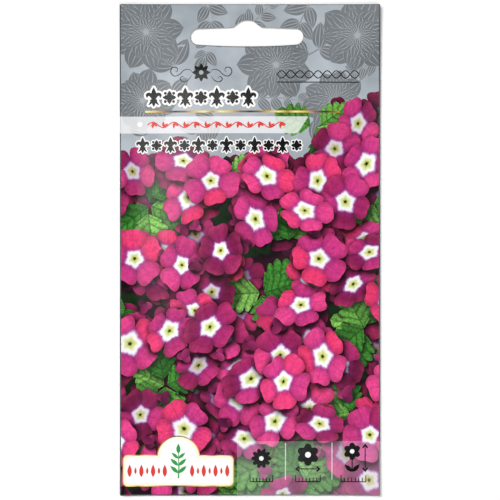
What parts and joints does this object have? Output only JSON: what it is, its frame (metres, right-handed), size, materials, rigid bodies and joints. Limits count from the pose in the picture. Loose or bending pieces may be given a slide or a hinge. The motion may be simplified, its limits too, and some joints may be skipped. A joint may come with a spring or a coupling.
{
  "type": "flower seed packet",
  "caption": "Flat heat-sealed paper packet for flower seeds with a printed floral front, a plain back and an arched hang slot in its header.",
  "frame": {"origin": "under the packet's middle, on the surface that it lies on", "axes": "+Z out of the printed front, +Y along the packet's height towards the hang slot, +X to the right seen from the front"},
  "size_m": [0.08, 0.151, 0.0027],
  "materials": {
    "printed_paper": "semi-gloss film over a full-colour floral print in pink, magenta and leaf green, with a silver-grey header",
    "back_paper": "satin coated paper, pale grey-white, with faint ruled boxes",
    "seed_coat": "dry brown ribbed seed coat"
  },
  "bodies": {
    "root": {"back_panel": "back_paper", "front_panel": "printed_paper", "seed_01": "seed_coat", "seed_02": "seed_coat", "seed_03": "seed_coat", "seed_04": "seed_coat", "seed_05": "seed_coat", "seed_06": "seed_coat", "seed_07": "seed_coat", "seed_08": "seed_coat", "seed_09": "seed_coat", "seed_10": "seed_coat"}
  },
  "joints": []
}
